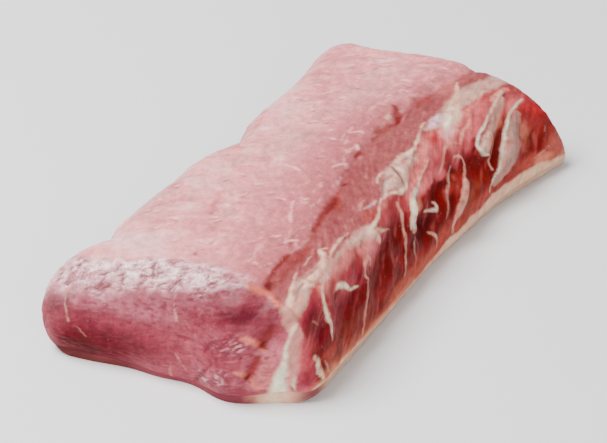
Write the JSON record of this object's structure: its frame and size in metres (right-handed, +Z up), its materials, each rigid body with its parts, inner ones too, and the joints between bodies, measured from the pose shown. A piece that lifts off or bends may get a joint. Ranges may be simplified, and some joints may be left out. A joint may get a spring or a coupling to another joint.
{
  "type": "boneless pork loin",
  "caption": "Raw boneless pork loin lying on its fat cap, with a pale lean top, a seam, a rib side with fat and membrane strips, and two cut ends.",
  "frame": {"origin": "middle of the footprint, on the flat face that the fat cap rests on", "axes": "+Y along the loin from the near cut end to the far one, +X towards the rib side, +Z up out of the fat cap"},
  "size_m": [0.1442, 0.299, 0.0584],
  "materials": {
    "lean": "raw lean pork, pale pink and slightly waxy on top, crimson and wet on the rib side",
    "fat": "cream fat and white membrane, soft and slightly greasy"
  },
  "bodies": {
    "root": {"loin_meat": "lean", "fat_cap": "fat"}
  },
  "joints": []
}
